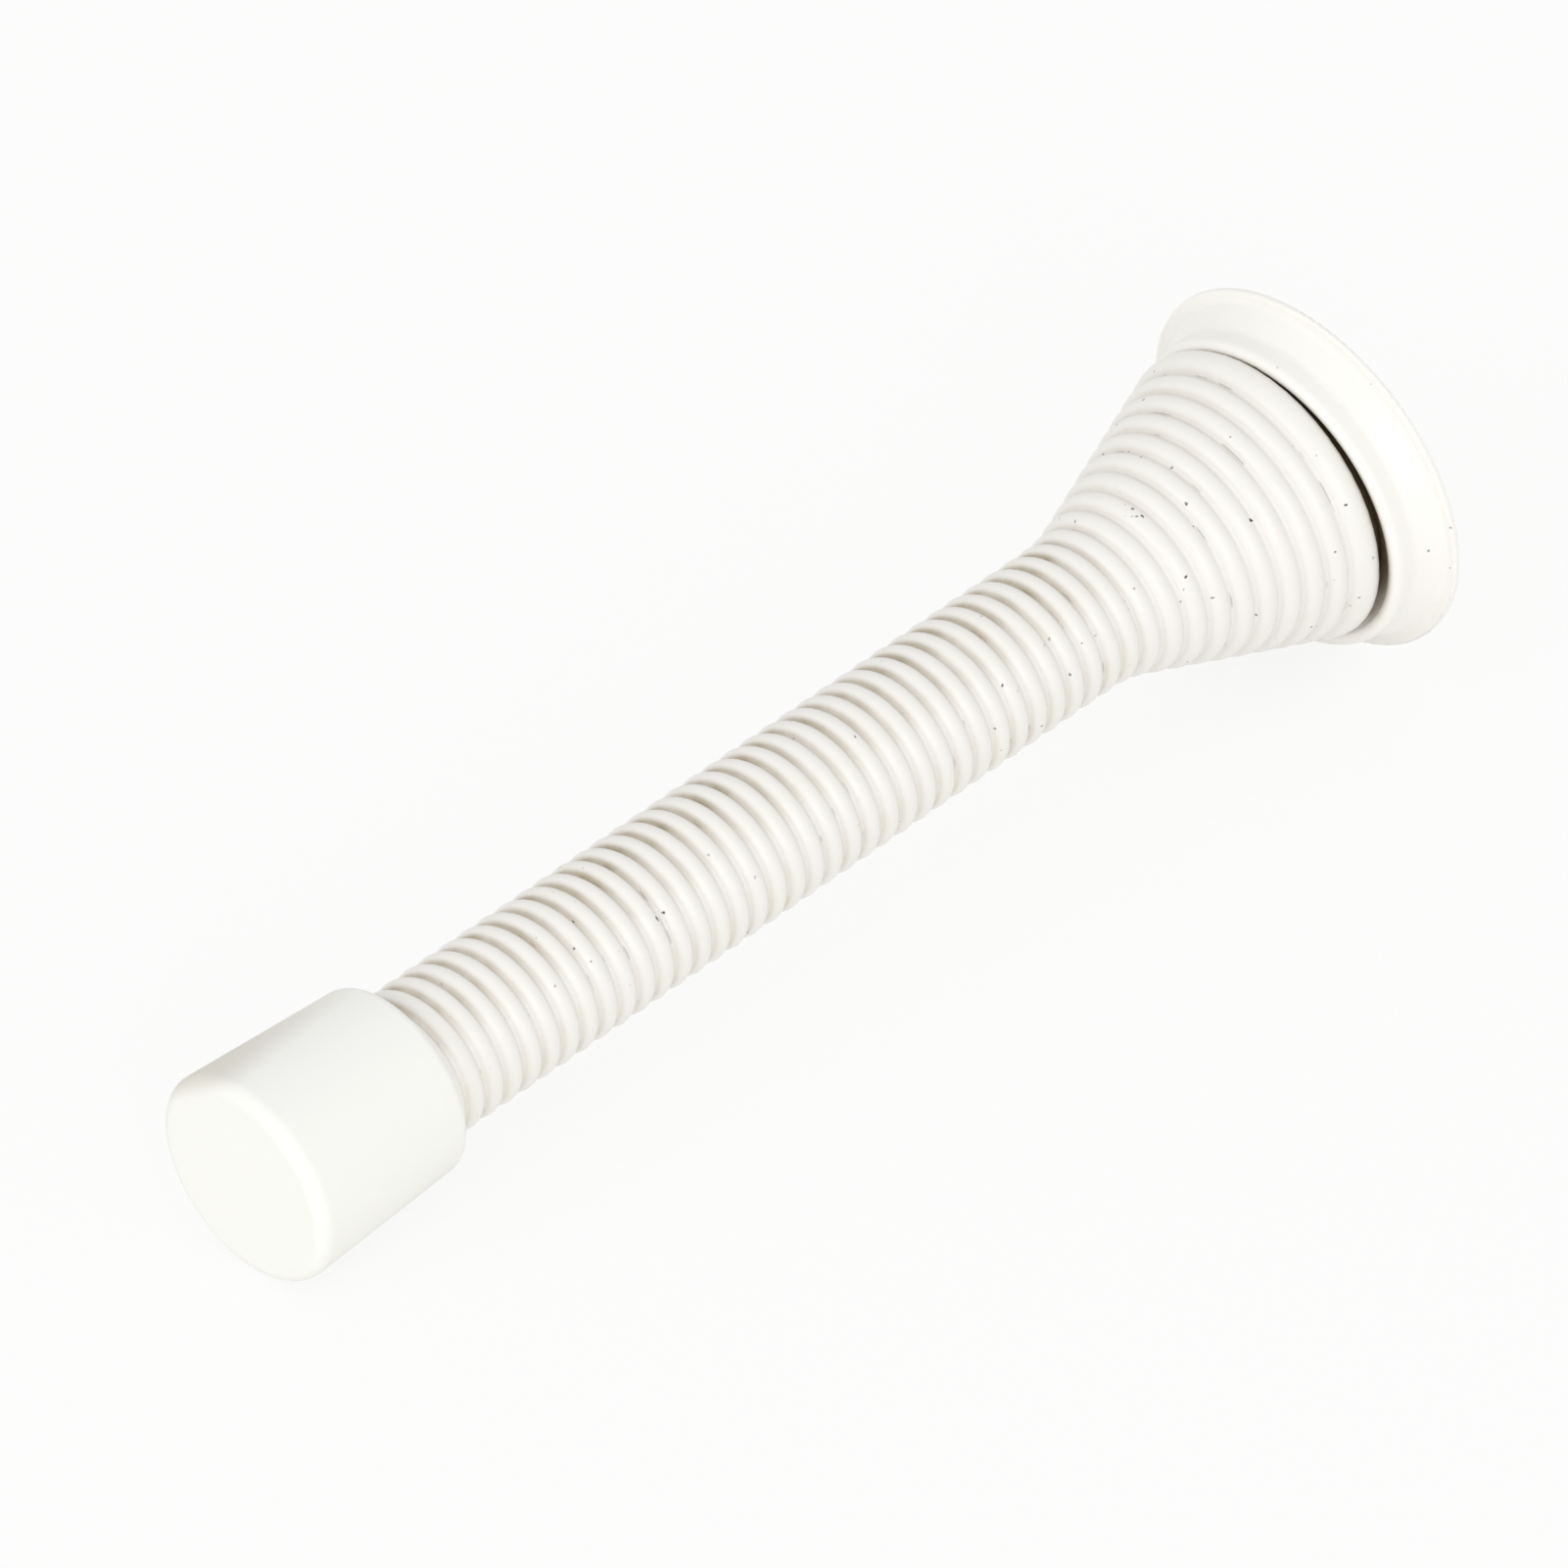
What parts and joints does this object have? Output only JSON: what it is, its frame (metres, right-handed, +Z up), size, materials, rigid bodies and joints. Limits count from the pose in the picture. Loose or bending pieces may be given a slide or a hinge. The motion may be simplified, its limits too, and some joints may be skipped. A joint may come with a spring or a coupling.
{
  "type": "spring door stop",
  "caption": "Spring door stop: a close-wound flared wire spring on a dished round wall rose, with a soft bumper cap on its free end.",
  "frame": {"origin": "centre of the screw hole in the wall plane, at the back of the rose", "axes": "+Y into the wall, so the stop points out of it along -Y; +Z up; +X across"},
  "size_m": [0.0254, 0.0912, 0.0254],
  "materials": {
    "rose_enamel": "warm white stoved enamel",
    "spring_coating": "warm white coating",
    "cap_rubber": "smooth white"
  },
  "bodies": {
    "root": {"rose": "rose_enamel", "coil_spring": "spring_coating", "bumper_cap": "cap_rubber"}
  },
  "joints": []
}
